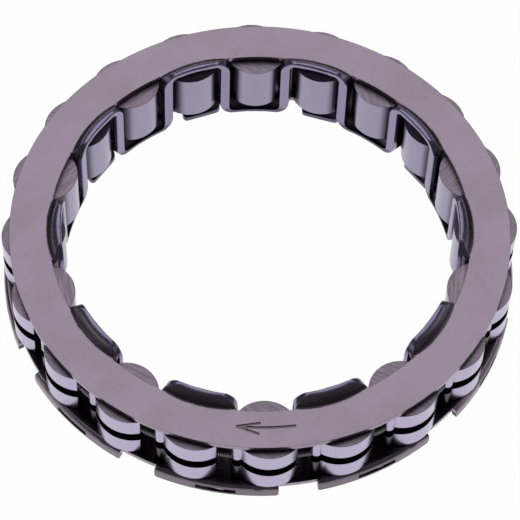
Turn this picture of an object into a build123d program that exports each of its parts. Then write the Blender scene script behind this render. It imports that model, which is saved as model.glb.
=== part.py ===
from build123d import *
from build123d.topology import SkipClean
import os
from math import asin, cos, degrees, radians, sin, sqrt

os.makedirs("parts", exist_ok=True)

# Every size is in millimetres and every angle in degrees.
# The clutch stands on its lower rim: the rim's lower edge is at height 0 and +Z is the axis.
# Angles run anticlockwise seen from above; the arrow on the upper ring is at the front, at -90.

# The whole clutch
sprag_count = 20
sprag_pitch = 360 / sprag_count
pair_count = sprag_count // 2
pair_pitch = 2 * sprag_pitch
front_angle = -90.0

# The sheet the cage is pressed from, and the heights of its two rings
sheet = 0.70
half_sheet = sheet / 2
sprag_length = 7.70
sprag_end_gap = 0.30
arch_rise = 1.20
flange_bottom = arch_rise
flange_top = flange_bottom + sheet
sprag_bottom = flange_top + sprag_end_gap
sprag_top = sprag_bottom + sprag_length
ring_bottom = sprag_top + sprag_end_gap
ring_top = ring_bottom + sheet
arch_top = ring_top + arch_rise
mid_height = arch_top / 2

# Radii of the cage, from the inner wall outwards
wall_inner_radius = 26.55
ring_step = 1.65
ring_width = 5.30
rim_overhang = 1.20
rim_shoulder = 0.60
wall_middle_radius = wall_inner_radius + half_sheet
wall_outer_radius = wall_inner_radius + sheet
opening_radius = wall_inner_radius + ring_step
ring_outer_radius = opening_radius + ring_width
rim_outer_radius = ring_outer_radius + rim_overhang
rim_inner_radius = rim_outer_radius - sheet

# The windows and the pillars between them
pillar_width = 1.32
window_half_width = wall_middle_radius * sin(radians(sprag_pitch / 2)) - pillar_width / 2
window_corner = 0.90
window_cut_start = wall_inner_radius - 2 * sheet
window_cut_depth = ring_step + 2 * sheet
arch_corner = 2.40
crest_round = 0.25
recess_margin = 0.10

# The hump a ring makes where it rises into an arch: an S in section, bowed outwards in plan
hump_bow_width = 0.50
hump_reach = opening_radius + hump_bow_width
hump_end_angle = sprag_pitch - degrees(asin(window_half_width / opening_radius))
hump_end_x = opening_radius * cos(radians(hump_end_angle))
hump_end_y = opening_radius * sin(radians(hump_end_angle))
hump_bow = hump_reach - hump_end_x
hump_radius = (hump_end_y ** 2 + hump_bow ** 2) / (2 * hump_bow)
hump_axis = hump_reach - hump_radius
hump_inner = hump_radius - 2 * (hump_reach - wall_inner_radius)
bend_tilt = radians(50.0)
bend_radius = 0.95

# The tongues of the lower ring, one under every second sprag
tongue_side_gap = 0.80
tongue_end_step = 0.25
tongue_shift = -1.00
tongue_corner = 0.60
tongue_half_width = window_half_width - tongue_side_gap
tongue_end = wall_inner_radius + tongue_end_step

# The castellated rim: ten tabs, each with a slot and a small pressed tongue in it
tab_offset = -10.8
recess_angle = 8.6
recess_half_width = rim_outer_radius * sin(radians(recess_angle / 2))
tab_corner = 0.45
slot_half_width = 2.70
slot_bottom = 0.34
lens_half_length = 1.70
lens_shift = 0.50
lens_gap = 0.30
lens_edge_inset = 0.60
lens_crown_inset = 0.18
lens_bottom = slot_bottom + lens_gap
lens_root = rim_inner_radius - half_sheet
lens_end = rim_outer_radius - lens_edge_inset
lens_crown = rim_outer_radius - lens_crown_inset

# The direction arrow engraved in the upper ring
arrow_inset = 2.35
arrow_radius = opening_radius + arrow_inset
arrow_half_angle = 7.2
barb_length = 3.15
barb_angle = 15.0
arrow_line = 0.32
arrow_depth = 0.12

# The sprag's outline: a small inner cam, a broad body and a large outer cam with a tail.
# Its noses stand out past the cage; its shoulders are wider than the window they lie behind.
inner_nose_reach = 0.50
outer_nose_reach = 1.05
inner_cam_shift = -0.15
outer_cam_shift = 0.40
inner_cam_depth = 2.30
outer_cam_depth = 1.58
leading_edge_depth = 2.20
tail_crown_depth = 1.48
tail_tip_depth = 2.12
leading_lap = 0.15
trailing_lap = 0.45
leading_waist_cut = 0.40
trailing_waist_cut = 0.55
leading_edge_swell = 0.25
outer_lead_swell = 0.30
outer_trail_cut = 0.80
tail_crown_cut = 0.12
tail_tip_swell = 0.45
inner_nose_radius = wall_inner_radius - inner_nose_reach
outer_nose_radius = ring_outer_radius + outer_nose_reach
shoulder_radius = inner_nose_radius + inner_cam_depth
leading_edge_radius = outer_nose_radius - leading_edge_depth
waist_radius = (shoulder_radius + leading_edge_radius) / 2
outer_cam_end = outer_nose_radius - outer_cam_depth
leading_shoulder = window_half_width + leading_lap
trailing_shoulder = -window_half_width - trailing_lap
leading_waist = leading_shoulder - leading_waist_cut
trailing_waist = trailing_shoulder + trailing_waist_cut
leading_edge = leading_shoulder + leading_edge_swell
outer_cam_lead = leading_shoulder + outer_lead_swell
outer_cam_trail = trailing_shoulder + outer_trail_cut
tail_crown = (outer_nose_radius - tail_crown_depth, trailing_shoulder + tail_crown_cut)
tail_tip = (outer_nose_radius - tail_tip_depth, trailing_shoulder - tail_tip_swell)

# The garter spring, and the groove that holds it half way up the sprags
spring_inset = 1.60
spring_coil_radius = 0.68
spring_side_gap = 0.17
spring_floor_gap = 0.06
spring_ring_radius = ring_outer_radius - spring_inset
groove_half_height = spring_coil_radius + spring_side_gap
groove_floor_radius = spring_ring_radius - spring_coil_radius - spring_floor_gap
groove_crown = 12.0
groove_centre = groove_floor_radius - groove_crown
groove_reach = 2 * groove_crown


def polar_point(radius, angle):
    """A point in plan, at a radius and an angle about the clutch's axis."""
    return (radius * cos(radians(angle)), radius * sin(radians(angle)))


def plan_plane(angle, height):
    """A level plane whose X points outwards at the angle and whose Y runs anticlockwise."""
    x, y = polar_point(1, angle)
    return Plane(origin=(0, 0, height), x_dir=(x, y, 0), z_dir=(0, 0, 1))


def radial_plane(angle, distance):
    """A plane facing outwards: its X runs anticlockwise round the clutch and its Y upwards."""
    x, y = polar_point(1, angle)
    return Plane(origin=(distance * x, distance * y, 0), x_dir=(-y, x, 0), z_dir=(x, y, 0))


def ring_sector(inner, outer, half_angle):
    """Closed line round a piece of a flat ring, the same width on both sides of the X axis."""
    Line(polar_point(inner, half_angle), polar_point(outer, half_angle))
    ThreePointArc(polar_point(outer, half_angle), (outer, 0), polar_point(outer, -half_angle))
    Line(polar_point(outer, -half_angle), polar_point(inner, -half_angle))
    ThreePointArc(polar_point(inner, -half_angle), (inner, 0), polar_point(inner, half_angle))


def arch_outline(inner, outer):
    """Closed line round one arch in plan, from one neighbouring window to the other."""
    corners = []
    for radius in (inner, outer):
        corners.append(sprag_pitch - degrees(asin(window_half_width / radius)))
    near, far = corners
    Line(polar_point(inner, near), polar_point(outer, far))
    ThreePointArc(polar_point(outer, far), (outer, 0), polar_point(outer, -far))
    Line(polar_point(outer, -far), polar_point(inner, -near))
    ThreePointArc(polar_point(inner, -near), (inner, 0), polar_point(inner, near))


def sprag_outline():
    """Closed line round one sprag in plan: inner cam, leading side, outer cam, tail side."""
    outer_lead = (outer_cam_end, outer_cam_lead)
    outer_trail = (outer_cam_end, outer_cam_trail)
    lead_shoulder = (shoulder_radius, leading_shoulder)
    lead_edge = (leading_edge_radius, leading_edge)
    trail_shoulder = (shoulder_radius, trailing_shoulder)
    ThreePointArc(trail_shoulder, (inner_nose_radius, inner_cam_shift), lead_shoulder)
    ThreePointArc(lead_shoulder, (waist_radius, leading_waist), lead_edge)
    Line(lead_edge, outer_lead)
    ThreePointArc(outer_lead, (outer_nose_radius, outer_cam_shift), outer_trail)
    ThreePointArc(outer_trail, tail_crown, tail_tip)
    ThreePointArc(tail_tip, (waist_radius, trailing_waist), trail_shoulder)


def hump_line(offset):
    """Points along one face of the humped sheet, from the flat ring inwards to the crest."""
    lift = bend_radius * (1 - cos(bend_tilt))
    slope = (arch_rise - 2 * lift) / sin(bend_tilt)
    run = 2 * bend_radius * sin(bend_tilt) + slope * cos(bend_tilt)
    ring_level = ring_top - half_sheet
    foot_height = ring_level + bend_radius
    head_height = ring_level + arch_rise - bend_radius
    near = bend_radius - offset
    far = bend_radius + offset
    points = []
    for turn in (0, bend_tilt / 2, bend_tilt):
        points.append((hump_radius - near * sin(turn), foot_height - near * cos(turn)))
    for turn in (bend_tilt, bend_tilt / 2, 0):
        points.append((hump_radius - run + far * sin(turn), head_height + far * cos(turn)))
    points.append((hump_inner, head_height + far))
    return points


def draw_hump(points):
    """Draws the two bends and two straights of one face of the hump."""
    ThreePointArc(*points[0:3])
    Line(points[2], points[3])
    ThreePointArc(*points[3:6])
    Line(points[5], points[6])


hump_section = Plane(origin=(hump_axis, 0, 0), x_dir=(1, 0, 0), z_dir=(0, -1, 0))
hump_turn = Axis((hump_axis, 0, 0), (0, 0, 1))
turn_over = Axis((0, 0, mid_height), (1, 0, 0))
upper_face = hump_line(half_sheet)
lower_face = hump_line(-half_sheet)

# The humped sheet as a whole turned ring, to be trimmed to one arch or one tongue
with BuildPart() as hump:
    with BuildSketch(hump_section):
        with BuildLine():
            draw_hump(upper_face)
            Line(upper_face[-1], lower_face[-1])
            draw_hump(lower_face)
            Line(lower_face[0], upper_face[0])
        make_face()
    revolve(axis=hump_turn)

# Everything below the hump's upper face, to trim the pillars' ends with
with BuildPart() as under_hump:
    with BuildSketch(hump_section):
        with BuildLine():
            draw_hump(upper_face)
            Line(upper_face[-1], (hump_inner, 0))
            Line((hump_inner, 0), (hump_radius, 0))
            Line((hump_radius, 0), upper_face[0])
        make_face()
    revolve(axis=hump_turn)

# The upper halves of two pillars, with the rounded head of the window between them
with BuildPart() as posts:
    with BuildSketch(Plane.XY.offset(mid_height)):
        with BuildLine():
            arch_outline(wall_inner_radius, wall_outer_radius)
        make_face()
    extrude(amount=mid_height)
    with BuildSketch(radial_plane(0, window_cut_start)):
        RectangleRounded(2 * window_half_width, 2 * (arch_top - sheet), window_corner)
    extrude(amount=window_cut_depth, mode=Mode.SUBTRACT)
    add(under_hump.part, mode=Mode.INTERSECT)

# What is cut off all along the crest to round its inner edge
with BuildPart() as crest_edge:
    with BuildSketch(Plane.XZ):
        with BuildLine():
            start = (wall_inner_radius, arch_top - crest_round)
            finish = (wall_inner_radius + crest_round, arch_top)
            turned = crest_round * (1 - sqrt(0.5))
            ThreePointArc(start, (wall_inner_radius + turned, arch_top - turned), finish)
            Polyline(finish, (finish[0], arch_top + sheet), (wall_inner_radius - sheet, arch_top + sheet),
                     (wall_inner_radius - sheet, start[1]), start)
        make_face()
    revolve(axis=Axis.Z)

# One arch of the upper ring on its two half pillars, its outer corners rounded
with BuildPart() as arch:
    add(hump.part)
    with BuildSketch():
        with BuildLine():
            arch_outline(wall_inner_radius, hump_reach + sheet)
        make_face()
    extrude(amount=arch_top, mode=Mode.INTERSECT)
    add(posts.part)
    for side in (-1, 1):
        with BuildSketch(radial_plane(side * sprag_pitch, window_cut_start)):
            with BuildLine():
                round_off = arch_corner * (1 - sqrt(0.5))
                low = (-side * window_half_width, arch_top - arch_corner)
                high = (-side * (window_half_width + arch_corner), arch_top)
                outside = -side * (window_half_width - sheet)
                ThreePointArc(low, (low[0] - side * round_off, arch_top - round_off), high)
                Polyline(high, (high[0], arch_top + sheet), (outside, arch_top + sheet),
                         (outside, low[1]), low)
            make_face()
        extrude(amount=window_cut_depth, mode=Mode.SUBTRACT)
    add(crest_edge.part, mode=Mode.SUBTRACT)

# The same arch upside down, for the lower ring
with BuildPart() as lower_arch:
    add(arch.part.rotate(turn_over, 180))

# A tongue of the lower ring, bent down like the arches, and the opening it is bent from
with BuildPart() as tongue:
    add(hump.part.rotate(turn_over, 180))
    with BuildSketch():
        with Locations((tongue_end, tongue_shift)):
            blank = Rectangle(hump_reach, 2 * tongue_half_width, align=(Align.MIN, Align.CENTER))
        fillet(blank.vertices().group_by(Axis.X)[0], tongue_corner)
    extrude(amount=flange_top, mode=Mode.INTERSECT)

with BuildPart() as tongue_opening:
    with Locations((hump_axis, 0, flange_bottom)):
        Cylinder(hump_radius, 2 * sheet, align=(Align.CENTER, Align.CENTER, Align.CENTER))
    with Locations((hump_reach, tongue_shift, flange_bottom)):
        Box(2 * (hump_reach - tongue_end), 2 * tongue_half_width, 4 * sheet, mode=Mode.INTERSECT)

# What is cut out of the rim: a recess with rounded tab corners beside it, and a tab's slot
with BuildPart() as recess:
    with BuildSketch():
        with BuildLine():
            ring_sector(rim_inner_radius, rim_outer_radius + sheet, recess_angle / 2)
        make_face()
    extrude(amount=flange_top)
    for side in (-1, 1):
        with BuildSketch(radial_plane(0, rim_inner_radius - sheet)):
            with BuildLine():
                round_off = tab_corner * (1 - sqrt(0.5))
                start = side * (recess_half_width - recess_margin)
                edge = side * recess_half_width
                finish = side * (recess_half_width + tab_corner)
                ThreePointArc((finish, 0), (edge + side * round_off, round_off), (edge, tab_corner))
                Polyline((edge, tab_corner), (start, tab_corner), (start, -sheet), (finish, -sheet),
                         (finish, 0))
            make_face()
        extrude(amount=3 * sheet)

with BuildPart() as slot:
    with Locations((rim_outer_radius, 0, slot_bottom)):
        Box(4 * sheet, 2 * slot_half_width, flange_bottom - slot_bottom,
            align=(Align.CENTER, Align.CENTER, Align.MIN))

# The lens-shaped tongue pressed out inside each slot
with BuildPart() as lens:
    with BuildSketch(Plane.XY.offset(lens_bottom)):
        with BuildLine():
            near = lens_shift - lens_half_length
            far = lens_shift + lens_half_length
            Polyline((lens_end, near), (lens_root, near), (lens_root, far), (lens_end, far))
            ThreePointArc((lens_end, far), (lens_crown, lens_shift), (lens_end, near))
        make_face()
    extrude(amount=flange_bottom - lens_bottom)

# The cage: two rings and a wavy inner wall, all one pressing
high_angle = front_angle + sprag_pitch
tab_angle = front_angle + tab_offset

with BuildPart() as cage:
    with BuildSketch(Plane.XY.offset(ring_bottom)):
        Circle(ring_outer_radius)
        Circle(opening_radius, mode=Mode.SUBTRACT)
        for number in range(pair_count):
            with Locations(polar_point(hump_axis, high_angle + number * pair_pitch)):
                Circle(hump_radius, mode=Mode.SUBTRACT)
    extrude(amount=sheet)
    with BuildSketch(plan_plane(front_angle, ring_top)):
        with BuildLine():
            ring_sector(arrow_radius - arrow_line / 2, arrow_radius + arrow_line / 2,
                        arrow_half_angle)
        make_face()
        tip = polar_point(arrow_radius, -arrow_half_angle)
        for turn in (-barb_angle, barb_angle):
            with Locations(Location(tip, 90 - arrow_half_angle + turn)):
                Rectangle(barb_length, arrow_line, align=(Align.MIN, Align.CENTER))
    extrude(amount=-arrow_depth, mode=Mode.SUBTRACT)

    with BuildSketch(Plane.XZ):
        with BuildLine():
            Polyline((rim_outer_radius - rim_shoulder, flange_top), (opening_radius, flange_top),
                     (opening_radius, flange_bottom), (rim_inner_radius, flange_bottom),
                     (rim_inner_radius, 0), (rim_outer_radius, 0),
                     (rim_outer_radius, flange_top - rim_shoulder))
            RadiusArc((rim_outer_radius, flange_top - rim_shoulder),
                      (rim_outer_radius - rim_shoulder, flange_top), -rim_shoulder)
        make_face()
    revolve(axis=Axis.Z)
    with BuildSketch(Plane.XY.offset(flange_bottom)):
        for number in range(pair_count):
            with Locations(polar_point(hump_axis, front_angle + number * pair_pitch)):
                Circle(hump_radius)
    extrude(amount=sheet, mode=Mode.SUBTRACT)
    with PolarLocations(0, pair_count, start_angle=high_angle):
        add(tongue_opening.part, mode=Mode.SUBTRACT)
    with PolarLocations(0, pair_count, start_angle=tab_angle + pair_pitch / 2):
        add(recess.part, mode=Mode.SUBTRACT)
    with PolarLocations(0, pair_count, start_angle=tab_angle):
        add(slot.part, mode=Mode.SUBTRACT)
        add(lens.part)

    with PolarLocations(0, pair_count, start_angle=high_angle):
        add(arch.part)
        add(tongue.part)
    with SkipClean(), PolarLocations(0, pair_count, start_angle=front_angle):
        add(lower_arch.part, clean=False)

cage.part.label = "cage"
export_step(cage.part, "parts/cage.step")

# The sprags, numbered anticlockwise from the one behind the arrow
for number in range(sprag_count):
    angle = front_angle + number * sprag_pitch
    with BuildPart() as sprag:
        with BuildSketch(plan_plane(angle, sprag_bottom)):
            with BuildLine():
                sprag_outline()
            make_face()
        extrude(amount=sprag_length)
        with BuildSketch(plan_plane(angle, mid_height)):
            with Locations((groove_centre, 0)):
                Rectangle(groove_reach, groove_reach, align=(Align.MIN, Align.CENTER))
                Circle(groove_crown, mode=Mode.SUBTRACT)
        extrude(amount=groove_half_height, both=True, mode=Mode.SUBTRACT)
    sprag.part.label = f"sprag_{number + 1:02d}"
    export_step(sprag.part, f"parts/sprag_{number + 1:02d}.step")

# The garter spring, drawn as the plain ring that its close coils fill
with BuildPart() as garter_spring:
    with Locations((0, 0, mid_height)):
        Torus(spring_ring_radius, spring_coil_radius)

garter_spring.part.label = "garter_spring"
export_step(garter_spring.part, "parts/garter_spring.step")
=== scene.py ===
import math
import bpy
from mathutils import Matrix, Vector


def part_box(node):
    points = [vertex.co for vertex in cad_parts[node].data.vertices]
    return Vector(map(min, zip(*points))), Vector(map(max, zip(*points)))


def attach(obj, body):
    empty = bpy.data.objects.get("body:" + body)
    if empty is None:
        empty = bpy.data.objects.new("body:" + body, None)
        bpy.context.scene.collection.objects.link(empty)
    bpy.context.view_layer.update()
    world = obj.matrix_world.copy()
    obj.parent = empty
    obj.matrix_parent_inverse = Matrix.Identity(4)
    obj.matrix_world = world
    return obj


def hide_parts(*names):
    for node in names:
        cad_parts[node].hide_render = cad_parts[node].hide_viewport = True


bl_info = {
    "name": "Starter clutch finishes",
    "version": (1, 0, 0),
    "blender": (4, 5, 0),
    "location": "3D View > Sidebar > Clutch",
    "description": "Dresses a packed starter clutch: steel finishes, a coiled garter spring and a stage",
    "category": "Object",
}

import bpy
import numpy as np
from bpy.props import FloatProperty, FloatVectorProperty, IntProperty, PointerProperty
from mathutils import Matrix, Vector

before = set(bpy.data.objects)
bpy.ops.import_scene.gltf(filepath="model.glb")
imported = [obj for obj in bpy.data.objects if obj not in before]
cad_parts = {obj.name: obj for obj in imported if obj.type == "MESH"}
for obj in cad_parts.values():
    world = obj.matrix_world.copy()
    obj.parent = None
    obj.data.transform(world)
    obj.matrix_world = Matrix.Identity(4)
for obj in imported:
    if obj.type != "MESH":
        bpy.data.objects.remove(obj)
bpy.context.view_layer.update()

MM = 0.001
SPRAG_COUNT = 20
SPRAG_NODES = [f"sprag_{number + 1:02d}" for number in range(SPRAG_COUNT)]
SPRAG_PITCH = 2 * math.pi / SPRAG_COUNT

# Sizes read from the frame: the garter spring's coil, height and ring, and the cage's upper ring and rim
SPRING_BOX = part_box("garter_spring")
SPRING_COIL = (SPRING_BOX[1].z - SPRING_BOX[0].z) / 2
SPRING_HEIGHT = (SPRING_BOX[1].z + SPRING_BOX[0].z) / 2
SPRING_RING = SPRING_BOX[1].x - SPRING_COIL
CAGE_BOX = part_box("cage")
ARCH_RISE = 1.2 * MM
RING_TOP = CAGE_BOX[1].z - ARCH_RISE
RIM_RADIUS = max(CAGE_BOX[1].x, CAGE_BOX[1].y)


class Socket:
    """An output socket in Python arithmetic: each operation adds a Math node."""

    def __init__(self, graph, output):
        self.graph = graph
        self.output = output

    def math(self, operation, *values):
        return self.graph.add("ShaderNodeMath", {"operation": operation}, dict(enumerate(values)))

    def function(self, operation):
        """A Math node that takes this value alone."""
        return self.math(operation, self)

    def __add__(self, other):
        return self.math("ADD", self, other)

    def __radd__(self, other):
        return self.math("ADD", other, self)

    def __sub__(self, other):
        return self.math("SUBTRACT", self, other)

    def __rsub__(self, other):
        return self.math("SUBTRACT", other, self)

    def __mul__(self, other):
        return self.math("MULTIPLY", self, other)

    def __rmul__(self, other):
        return self.math("MULTIPLY", other, self)

    def __truediv__(self, other):
        return self.math("DIVIDE", self, other)

    def __pow__(self, other):
        return self.math("POWER", self, other)

    def clipped(self):
        """The value held between 0 and 1."""
        return self.graph.add("ShaderNodeClamp", {}, {"Value": self})

    def step(self, low, high):
        """0 below low, 1 above high and smooth between them; low may be the greater."""
        settings = {"interpolation_type": "SMOOTHSTEP"}
        inputs = {"Value": self, "From Min": low, "From Max": high}
        return self.graph.add("ShaderNodeMapRange", settings, inputs)


class Graph:
    """The node tree of one material or world."""

    def __init__(self, owner):
        owner.use_nodes = True
        self.tree = owner.node_tree
        self.tree.nodes.clear()

    def add(self, kind, settings, inputs, output=0):
        """Adds a node, sets it up, fills its sockets and gives back one of its outputs."""
        node = self.tree.nodes.new(kind)
        for name, value in settings.items():
            setattr(node, name, value)
        for name, value in inputs.items():
            if isinstance(value, Socket):
                self.tree.links.new(value.output, node.inputs[name])
            else:
                node.inputs[name].default_value = value
        return Socket(self, node.outputs[output]) if node.outputs else None

    def place(self):
        """The point on the surface, in millimetres in the clutch's own frame."""
        point = self.add("ShaderNodeTexCoord", {}, {}, "Object")
        return self.vector("SCALE", {0: point, "Scale": 1 / MM})

    def normal(self):
        """The direction that the surface faces."""
        return self.add("ShaderNodeNewGeometry", {}, {}, "Normal")

    def bevel(self, radius, samples):
        """The direction that the surface would face if its edges were rounded."""
        return self.add("ShaderNodeBevel", {"samples": samples}, {"Radius": radius})

    def vector(self, operation, inputs, output=0):
        return self.add("ShaderNodeVectorMath", {"operation": operation}, inputs, output)

    def split(self, vector):
        """The three numbers of a vector."""
        parts = self.add("ShaderNodeSeparateXYZ", {}, {"Vector": vector})
        node = parts.output.node
        return [Socket(self, node.outputs[index]) for index in range(3)]

    def join(self, x, y, z):
        return self.add("ShaderNodeCombineXYZ", {}, {"X": x, "Y": y, "Z": z})

    def dot(self, first, second):
        """How far two directions agree: 1 if they are the same, 0 if they are square."""
        return self.vector("DOT_PRODUCT", {0: first, 1: second}, "Value")

    def bend(self, factor, first, second):
        """A direction between two others."""
        settings = {"data_type": "VECTOR"}
        mixed = self.add("ShaderNodeMix", settings, {"Factor": factor, 4: first, 5: second}, 1)
        return self.vector("NORMALIZE", {0: mixed})

    def noise(self, vector, scale, detail, roughness):
        """Smooth noise between 0 and 1, with so many features to the millimetre."""
        inputs = {"Vector": vector, "Scale": scale, "Detail": detail, "Roughness": roughness}
        return self.add("ShaderNodeTexNoise", {"noise_dimensions": "3D"}, inputs)

    def streaks(self, directions, squeeze, **grain):
        """Noise that is squeezed by a number along each of three directions."""
        vector = self.join(*(value * share for value, share in zip(directions, squeeze)))
        return self.noise(vector, **grain)

    def blend(self, factor, low, high):
        """A colour between two others."""
        settings = {"data_type": "RGBA"}
        return self.add("ShaderNodeMix", settings, {"Factor": factor, 6: low, 7: high}, 2)

    def shade(self, factor, colour):
        """A colour made darker or lighter by a number."""
        start = colour if isinstance(colour, Socket) else colour[:3]
        return self.vector("SCALE", {0: start, "Scale": factor})

    def tone(self, colour, zones, measures):
        """A colour made darker or lighter in each of these zones."""
        for zone in zones:
            colour = self.shade(1 + zone.mask(measures) * zone.tone, colour)
        return colour

    def bump(self, height, strength, distance, normal=None):
        """The direction that the surface faces once it is roughened by a height."""
        inputs = {"Strength": strength, "Distance": distance, "Height": height}
        if normal is not None:
            inputs["Normal"] = normal
        return self.add("ShaderNodeBump", {}, inputs)

    def metal(self, colour, roughness, normal):
        """The finished metal surface."""
        inputs = {"Base Color": colour, "Metallic": 1.0, "Roughness": roughness, "Normal": normal}
        surface = self.add("ShaderNodeBsdfPrincipled", {}, inputs)
        self.add("ShaderNodeOutputMaterial", {}, {"Surface": surface})


class Zone:
    """A stretch of a surface with soft edges, and how much lighter or darker it is than the rest.

    Each limit is of one measure of the surface. Its first value is where the zone starts and its
    second where it is whole. A zone that ends again has two more: where it stops being whole and
    where it is over. Radii and heights are in millimetres, directions run from -1 to 1 and patterns
    from 0 to 1.
    """

    def __init__(self, tone=0.0, **limits):
        self.tone = tone
        self.limits = limits

    def mask(self, measures):
        """1 where the zone is whole, 0 outside it and smooth between."""
        mask = 1.0
        for name, (start, whole, *end) in self.limits.items():
            mask = measures[name].step(start, whole) * mask
            if end:
                last, over = end
                mask = measures[name].step(over, last) * mask
        return mask


def from_axis(x, y):
    """The distance of a place from the clutch's axis."""
    return (x * x + y * y) ** 0.5


def shader_colour(colour):
    """A colour property as the four numbers that a colour socket takes."""
    return (*colour, 1.0)


def new_material(name):
    """A material with an empty node tree."""
    material = bpy.data.materials.new(name)
    return material, Graph(material)


def dress(node, material):
    """Gives a piece of the frame one material all over, in place of its own."""
    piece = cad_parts[node]
    piece.data.materials.clear()
    piece.data.materials.append(material)


class ClutchSizes(bpy.types.PropertyGroup):
    """Sizes and colours of the finishes that a user would change."""

    coil_turns: IntProperty(name="Coil turns", default=850, min=100,
                            description="Turns in the garter spring")
    wire_radius: FloatProperty(name="Wire radius", default=0.108 * MM, unit="LENGTH", precision=6,
                               description="Radius of the garter spring's wire")
    edge_radius: FloatProperty(name="Edge radius", default=0.08 * MM, unit="LENGTH", precision=6,
                               description="How far the edges of the two rings look rounded")
    bar_edge: FloatProperty(name="Bar edge", default=0.26 * MM, unit="LENGTH", precision=6,
                            description="How far the edges of the arches and pillars look rounded")
    sprag_edge: FloatProperty(name="Sprag edge", default=0.14 * MM, unit="LENGTH", precision=6,
                              description="How far the sprags' edges look rounded")
    cage_colour: FloatVectorProperty(name="Cage", subtype="COLOR", default=(0.325, 0.264, 0.334),
                                     description="Colour of the pressed cage")
    # Painted reflection: the inner wall and the arches' crests are bluer and darker than the rest of the
    # cage
    wall_reflection_colour: FloatVectorProperty(name="Wall", subtype="COLOR", default=(0.27, 0.24, 0.365),
                                     description="Colour of the cage's inner wall")
    cage_shade: FloatVectorProperty(name="Cage stain", subtype="COLOR", default=(0.30, 0.242, 0.305),
                                    description="Colour of the darker clouds in the cage's skin")
    sprag_colour: FloatVectorProperty(name="Sprag cams", subtype="COLOR", default=(0.455, 0.40, 0.56),
                                      description="Colour of the sprags' outer cams")
    # Painted shade and reflection: the inner cams are darker and bluer than the outer cams
    inner_cam_shade_colour: FloatVectorProperty(name="Inner cams", subtype="COLOR",
                                          default=(0.315, 0.275, 0.385),
                                          description="Colour of the sprags' inner cams")
    sprag_end_colour: FloatVectorProperty(name="Sprag ends", subtype="COLOR",
                                          default=(0.36, 0.29, 0.37),
                                          description="Colour of the sprags' ground ends")
    spring_colour: FloatVectorProperty(name="Spring", subtype="COLOR", default=(0.20, 0.18, 0.20),
                                       description="Colour of the spring's wire")
    floor_colour: FloatVectorProperty(name="Floor", subtype="COLOR", default=(0.92, 0.92, 0.92),
                                      description="Colour of the floor")
    world_level: FloatProperty(name="World level", default=0.08, min=0.0,
                               description="Brightness of the studio round the clutch")


# The inner wall and the arches that stand over the upper ring
CAGE_WALL = Zone(radius=(27.6, 27.3))
CAGE_ARCHES = Zone(over_ring=(0.02, 0.10))
# The pits and the arrow's bed, and where shade, dark reflections and highlights are painted on the cage
CAGE_MARKS_AND_PAINTED_LIGHT = (
    # Small pits in the skin
    Zone(tone=-0.25, pitting=(0.73, 0.78)),
    # Painted shade on the upper face of the lower ring, which lies under the sprags and the upper ring
    Zone(tone=-0.72, tilt=(0.5, 0.8), height=(3.0, 2.2), from_rim=(-0.4, -1.1)),
    # The bed of the engraved arrow
    Zone(tone=-0.55, tilt=(0.8, 0.9), over_ring=(-0.20, -0.16, -0.04, -0.01), radius=(28.6, 28.9)),
    # Painted dark reflection on the slopes of the arches that face outwards
    Zone(tone=-0.62, tilt=(0.97, 0.80), over_ring=(-0.02, 0.02), outward=(0.15, 0.35), radius=(27.3, 28.1)),
    # Painted shade on the arches under the lower ring
    Zone(tone=-0.55, height=(1.5, 1.0), radius=(29.2, 28.6)),
    # Painted shade on the outer face of the rim
    Zone(tone=-0.45, outward=(0.6, 0.8), from_rim=(-0.14, -0.04)),
    # Painted shade on the walls of the slots in the rim
    Zone(tone=-0.85, outward=(0.8, 0.6), from_rim=(-0.9, -0.8), height=(0.30, 0.36, 1.1, 1.3)),
    # Painted highlight on the small tongues in the slots
    Zone(tone=0.9, outward=(0.6, 0.8), from_rim=(-0.75, -0.65, -0.16, -0.12), height=(1.3, 1.2)),
)


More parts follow.
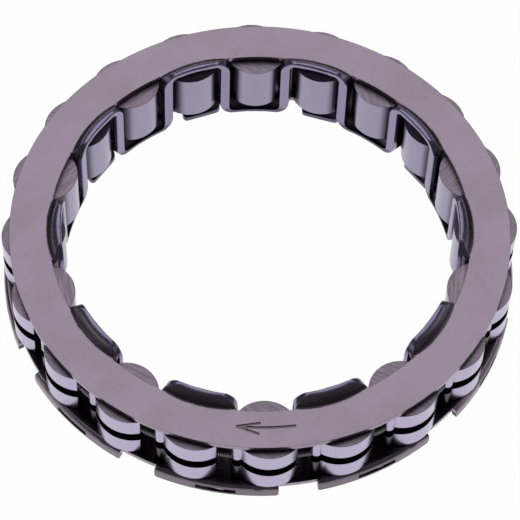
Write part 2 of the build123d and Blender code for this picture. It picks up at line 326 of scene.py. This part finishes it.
class ClutchCage(bpy.types.Operator):
    """Gives the pressed cage its satin steel"""

    bl_idname = "clutch.cage"
    bl_label = "Finish the cage"

    # The tone and roughness of the skin, and what its grain, its clouds and the painted highlight on its
    # edges add
    skin_tone = 0.95
    grain_tone = 0.10
    edge_highlight_tone = 0.35
    skin_rough = 0.20
    grain_rough = 0.10
    cloud_rough = 0.04

    def execute(self, context):
        sizes = context.scene.clutch_sizes
        material, graph = new_material("cage_satin_steel")
        place = graph.place()
        normal = graph.normal()
        measures = self.measures(graph, place, normal)
        clouds = graph.noise(place, scale=0.16, detail=4.0, roughness=0.55).step(low=0.35, high=0.70)
        grain = graph.noise(place, scale=5.5, detail=3.0, roughness=0.6)
        wall = CAGE_WALL.mask(measures)
        bars = (wall + CAGE_ARCHES.mask(measures)).clipped()
        crisp = graph.bevel(sizes.edge_radius, samples=6)
        soft = graph.bevel(sizes.bar_edge, samples=8)
        # Painted highlight along the edges of the two rings, where the bevel rounds them
        edge = (1 - graph.dot(crisp, normal)).step(low=0.01, high=0.22) * (1 - bars)

        colour = graph.blend(clouds, shader_colour(sizes.cage_colour), shader_colour(sizes.cage_shade))
        # Painted reflection: the inner wall gets its own bluer, darker colour
        colour = graph.blend(wall, colour, shader_colour(sizes.wall_reflection_colour))
        tone = (self.skin_tone + grain * self.grain_tone) * (1 + edge * self.edge_highlight_tone)
        colour = graph.tone(graph.shade(tone, colour), CAGE_MARKS_AND_PAINTED_LIGHT, measures)
        roughness = self.skin_rough + grain * self.grain_rough + clouds * self.cloud_rough
        rounded = graph.bend(bars, crisp, soft)
        bump = graph.bump(grain, strength=0.12, distance=0.02 * MM, normal=rounded)
        graph.metal(colour, roughness, bump)
        dress("cage", material)
        return {"FINISHED"}

    def measures(self, graph, place, normal):
        """What the limits of the cage's zones are measured on."""
        x, y, height = graph.split(place)
        radius = from_axis(x, y)
        return {
            "radius": radius,
            "from_rim": radius - RIM_RADIUS / MM,
            "height": height,
            "over_ring": height - RING_TOP / MM,
            "tilt": graph.split(normal)[2],
            "outward": graph.dot(normal, graph.join(x / radius, y / radius, 0.0)),
            "pitting": graph.noise(place, scale=1.9, detail=1.0, roughness=0.5),
        }


# Where the inner cams of the sprags give way to the outer ones, and the ends to the sides
INNER_CAM = (29.2, 28.6)
OUTER_CAM = INNER_CAM[::-1]
END_FACE = (0.7, 0.9)
SIDE_FACE = END_FACE[::-1]

SPRAG_INNER_CAMS = Zone(radius=INNER_CAM)
SPRAG_ENDS = Zone(flat=END_FACE)
# Where shade, dark reflections and highlights are painted on the sprags
SPRAG_PAINTED_LIGHT = (
    # Painted highlight along the edges
    Zone(tone=0.4, sharp=(0.01, 0.2)),
    # Painted dark reflection on the flanks of the inner cams
    Zone(tone=-0.8, radius=INNER_CAM, flat=SIDE_FACE, outward=(-0.90, -0.72)),
    # Painted shade in the grooves that the garter spring lies in
    Zone(tone=-0.92, from_spring=(0.88, 0.86), radius=(29.4, 29.8)),
    # Painted shade on the ends that the arches stand over, on every other sprag
    Zone(tone=-0.6, radius=INNER_CAM, flat=END_FACE, odd=(0.2, 0.3)),
    # Painted shade on the tails, below the spring
    Zone(tone=-0.85, radius=OUTER_CAM, across=(-2.9, -3.3), height=(5.3, 5.1)),
)


class ClutchSprags(bpy.types.Operator):
    """Gives the sprags polished cams and ground, scratched ends"""

    bl_idname = "clutch.sprags"
    bl_label = "Finish the sprags"

    # The tones of the ends and cams, and what the scratches, the grinding and the clouds add
    end_tone = 0.60
    line_tone = 0.65
    cam_tone = 0.90
    grind_tone = 0.14
    cloud_tone = 0.06
    # The roughness of the cams, and what the ends, the clouds and the scratches add
    cam_rough = 0.20
    end_rough = 0.20
    cloud_rough = 0.06
    line_rough = 0.08
    # The relief of the deep scratches and of the grinding, where that of the fine scratches is 1
    deep_relief = -0.5
    grind_relief = 0.12
    # The least angle of the scratches in radians, and how widely it varies between the sprags
    least_lay = -0.3
    lay_spread = 1.5

    def execute(self, context):
        sizes = context.scene.clutch_sizes
        material, graph = new_material("sprag_ground_steel")
        place = graph.place()
        normal = graph.normal()
        rounded = graph.bevel(sizes.sprag_edge, samples=6)
        number, measures = self.measures(graph, place, normal, rounded)
        end = SPRAG_ENDS.mask(measures)
        inner = SPRAG_INNER_CAMS.mask(measures)
        scratch, deep = self.scratches(graph, number, measures)
        lines = scratch.step(low=0.35, high=0.72)
        directions = (measures["across"], measures["radius"], measures["height"])
        grind = graph.streaks(directions, squeeze=(3.0, 3.0, 0.15), scale=1.4, detail=3.0, roughness=0.6)
        cloud = graph.noise(place, scale=0.5, detail=3.0, roughness=0.5)

        tone = self.end_tone + lines * self.line_tone
        end_colour = graph.shade(tone, shader_colour(sizes.sprag_end_colour))
        tone = self.cam_tone + grind * self.grind_tone + cloud * self.cloud_tone
        # Painted shade and reflection: the inner cams take their own darker, bluer colour
        cam_colour = graph.blend(inner, shader_colour(sizes.sprag_colour),
                                 shader_colour(sizes.inner_cam_shade_colour))
        colour = graph.blend(end, graph.shade(tone, cam_colour), end_colour)
        colour = graph.tone(colour, SPRAG_PAINTED_LIGHT, measures)

        relief = end * (scratch + deep * self.deep_relief) + (1 - end) * grind * self.grind_relief
        roughness = self.cam_rough + cloud * self.cloud_rough
        roughness = roughness + end * (self.end_rough + lines * self.line_rough)
        bump = graph.bump(relief, strength=0.5, distance=0.015 * MM, normal=rounded)
        graph.metal(colour, roughness, bump)
        for name in SPRAG_NODES:
            dress(name, material)
        return {"FINISHED"}

    def measures(self, graph, place, normal, rounded):
        """Each sprag's number, and what the limits of its zones are measured on."""
        x, y, height = graph.split(place)
        radius = from_axis(x, y)
        turns = (y.math("ARCTAN2", y, x) + (math.pi + SPRAG_PITCH) / 2) / SPRAG_PITCH
        number = turns.function("FLOOR")
        return number, {
            "radius": radius,
            "across": (turns - number - 0.5) * SPRAG_PITCH * radius,
            "height": height,
            "from_spring": (height - SPRING_HEIGHT / MM).function("ABSOLUTE"),
            "flat": graph.split(normal)[2].function("ABSOLUTE"),
            "outward": graph.dot(normal, place) / radius,
            "sharp": 1 - graph.dot(rounded, normal),
            "odd": (number / 2).function("FRACT"),
        }

    def scratches(self, graph, number, measures):
        """Fine and deep scratches on the sprags' ends, which each sprag has at an angle of its own."""
        own = graph.add("ShaderNodeTexWhiteNoise", {"noise_dimensions": "1D"}, {"W": number})
        lay = own * self.lay_spread + self.least_lay
        cosine = lay.function("COSINE")
        sine = lay.function("SINE")
        across = measures["across"]
        radius = measures["radius"]
        directions = (across * cosine + radius * sine, radius * cosine - across * sine, number)
        fine = graph.streaks(directions, squeeze=(0.22, 2.6, 7.3), scale=1.6, detail=5.0, roughness=0.62)
        deep = graph.streaks(directions, squeeze=(0.10, 1.7, 3.1), scale=2.4, detail=2.0, roughness=0.5)
        return fine, deep.step(low=0.62, high=0.7)


class ClutchGarterSpring(bpy.types.Operator):
    """Winds the garter spring as real wire and joins it into a ring"""

    bl_idname = "clutch.garter_spring"
    bl_label = "Wind the garter spring"

    # The tone and roughness of the wire, and what its stains add
    wire_tone = 0.7
    stain_tone = 0.6
    wire_rough = 0.28
    stain_rough = 0.15

    def execute(self, context):
        sizes = context.scene.clutch_sizes
        mesh = bpy.data.meshes.new("garter_spring_coils")
        centre, spoke = self.wire_line(sizes.coil_turns, SPRING_COIL - sizes.wire_radius)
        points, faces = self.wire_skin(centre, spoke, sizes.wire_radius)
        mesh.from_pydata(points.tolist(), [], faces.tolist())
        mesh.shade_smooth()
        mesh.materials.append(self.drawn_wire(sizes))
        spring = bpy.data.objects.new("garter_spring_coils", mesh)
        context.scene.collection.objects.link(spring)
        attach(spring, "cage_body")
        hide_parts("garter_spring")
        return {"FINISHED"}

    def wire_line(self, turns, coil_radius):
        """Points along the middle of the wire, and at each the way out from the coil's middle."""
        points_per_turn = 12
        count = turns * points_per_turn
        ring = np.arange(count) * (2 * math.pi / count)
        turn = ring * turns
        out = np.stack([np.cos(ring), np.sin(ring), np.zeros(count)], axis=1)
        up = np.array([0.0, 0.0, 1.0])
        spoke = out * np.cos(turn)[:, None] + up * np.sin(turn)[:, None]
        return out * SPRING_RING + spoke * coil_radius + up * SPRING_HEIGHT, spoke

    def wire_skin(self, centre, spoke, wire_radius):
        """The points and faces of the wire, six-sided and closed on itself."""
        sides = 6
        run = np.roll(centre, -1, axis=0) - np.roll(centre, 1, axis=0)
        run /= np.linalg.norm(run, axis=1)[:, None]
        side = np.cross(run, spoke)
        side /= np.linalg.norm(side, axis=1)[:, None]
        face = np.cross(side, run)
        points = []
        for step in range(sides):
            lean = 2 * math.pi * step / sides
            points.append(centre + wire_radius * (face * math.cos(lean) + side * math.sin(lean)))
        points = np.stack(points, axis=1).reshape(-1, 3)
        start = np.arange(len(centre))[:, None] * sides
        first = start + np.arange(sides)[None, :]
        beside = start + (np.arange(sides)[None, :] + 1) % sides
        further = (first + sides) % len(points)
        opposite = (beside + sides) % len(points)
        faces = np.stack([first, further, opposite, beside], axis=2).reshape(-1, 4)
        return points, faces

    def drawn_wire(self, sizes):
        """The spring's own steel, a little stained."""
        material, graph = new_material("spring_drawn_wire")
        place = graph.place()
        stain = graph.noise(place, scale=0.7, detail=3.0, roughness=0.6)
        draw_marks = graph.noise(place, scale=9.0, detail=2.0, roughness=0.5)
        tone = self.wire_tone + stain * self.stain_tone
        colour = graph.shade(tone, shader_colour(sizes.spring_colour))
        roughness = self.wire_rough + stain * self.stain_rough
        graph.metal(colour, roughness, graph.bump(draw_marks, strength=0.1, distance=0.01 * MM))
        return material


class ClutchStage(bpy.types.Operator):
    """Puts the clutch on a pale floor under soft lamps and sets the camera"""

    bl_idname = "clutch.stage"
    bl_label = "Set the stage"

    def execute(self, context):
        sizes = context.scene.clutch_sizes
        self.floor(context, sizes)
        self.world(context, sizes)
        self.lamp(context, "softbox_above", place=(0.0, 0.33, 0.50), size=0.62, power=1.17)
        self.lamp(context, "softbox_left", place=(-0.55, -0.10, 0.25), size=0.30, power=0.12)
        self.lamp(context, "softbox_right", place=(0.55, 0.05, 0.28), size=0.30, power=0.12)
        self.camera(context)
        context.scene.view_settings.view_transform = "Standard"
        return {"FINISHED"}

    def floor(self, context, sizes):
        """A wide sheet of paper just under the clutch, which shows as white."""
        mesh = bpy.data.meshes.new("floor")
        reach = 3.0
        level = -0.02 * MM
        corners = [(-reach, -reach), (reach, -reach), (reach, reach), (-reach, reach)]
        mesh.from_pydata([(x, y, level) for x, y in corners], [], [(0, 1, 2, 3)])
        floor = bpy.data.objects.new("floor", mesh)
        context.scene.collection.objects.link(floor)
        material, graph = new_material("floor_paper")
        paper = graph.add("ShaderNodeBsdfDiffuse", {}, {"Color": shader_colour(sizes.floor_colour)})
        white = graph.add("ShaderNodeEmission", {}, {"Color": (1.0, 1.0, 1.0, 1.0)})
        white_share = 0.99
        mixed = {0: self.seen(graph) * white_share, 1: paper, 2: white}
        surface = graph.add("ShaderNodeMixShader", {}, mixed)
        graph.add("ShaderNodeOutputMaterial", {}, {"Surface": surface})
        mesh.materials.append(material)

    def seen(self, graph):
        """1 for rays from the camera and for those that a gloss or a clear piece sends on."""
        path = graph.add("ShaderNodeLightPath", {}, {}, "Is Camera Ray")
        node = path.output.node
        gloss = Socket(graph, node.outputs["Is Glossy Ray"])
        clear = Socket(graph, node.outputs["Is Transmission Ray"])
        return (path + gloss + clear).clipped()

    def world(self, context, sizes):
        """The even light of the studio's walls."""
        world = bpy.data.worlds.new("studio")
        context.scene.world = world
        graph = Graph(world)
        level = sizes.world_level
        soft = graph.add("ShaderNodeBackground", {}, {"Color": (level, level, level, 1.0)})
        graph.add("ShaderNodeOutputWorld", {}, {"Surface": soft})

    def lamp(self, context, name, place, size, power):
        """A square softbox that faces the clutch, with its place and size in metres."""
        light = bpy.data.lights.new(name, "AREA")
        light.shape = "SQUARE"
        light.size = size
        light.energy = power
        lamp = bpy.data.objects.new(name, light)
        lamp.location = place
        lamp.rotation_mode = "QUATERNION"
        lamp.rotation_quaternion = Vector(place).to_track_quat("Z", "Y")
        context.scene.collection.objects.link(lamp)

    def camera(self, context):
        """A long lens at the photograph's height and turn, with its angles in radians."""
        rise = 1.0067
        roll = 0.0411
        turn = math.radians(-3.4)
        reach = 0.36663
        shift_right = 0.0001394
        shift_down = 0.0044207
        back = Vector((0, -math.cos(rise), math.sin(rise)))
        right = Vector((1, 0, 0))
        up = back.cross(right)
        place = back * reach + right * shift_right - up * shift_down
        across = right * math.cos(roll) + up * math.sin(roll)
        upright = up * math.cos(roll) - right * math.sin(roll)
        axes = Matrix((across, upright, back)).transposed().to_4x4()
        swing = Matrix.Rotation(turn, 4, "Z")
        data = bpy.data.cameras.new("camera")
        data.sensor_width = 36.0
        data.lens = 189.92
        data.clip_start = 0.01
        data.clip_end = 10.0
        camera = bpy.data.objects.new("camera", data)
        camera.matrix_world = swing @ Matrix.Translation(place) @ axes
        camera.matrix_world = Matrix.Translation((0, 0, RING_TOP)) @ camera.matrix_world
        context.scene.collection.objects.link(camera)
        context.scene.camera = camera


class ClutchPanel(bpy.types.Panel):
    """Buttons for the clutch's finishes"""

    bl_idname = "VIEW3D_PT_clutch"
    bl_label = "Starter clutch"
    bl_space_type = "VIEW_3D"
    bl_region_type = "UI"
    bl_category = "Clutch"

    def draw(self, context):
        sizes = context.scene.clutch_sizes
        for name in ClutchSizes.__annotations__:
            self.layout.prop(sizes, name)
        for operator in (ClutchCage, ClutchSprags, ClutchGarterSpring, ClutchStage):
            self.layout.operator(operator.bl_idname)


CLASSES = (ClutchSizes, ClutchCage, ClutchSprags, ClutchGarterSpring, ClutchStage, ClutchPanel)


def register():
    for item in CLASSES:
        bpy.utils.register_class(item)
    bpy.types.Scene.clutch_sizes = PointerProperty(type=ClutchSizes)


def unregister():
    del bpy.types.Scene.clutch_sizes
    for item in reversed(CLASSES):
        bpy.utils.unregister_class(item)


def main():
    """Registers the add-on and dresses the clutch."""
    register()
    bpy.ops.clutch.cage()
    bpy.ops.clutch.sprags()
    bpy.ops.clutch.garter_spring()
    bpy.ops.clutch.stage()


if __name__ == "__main__":
    main()
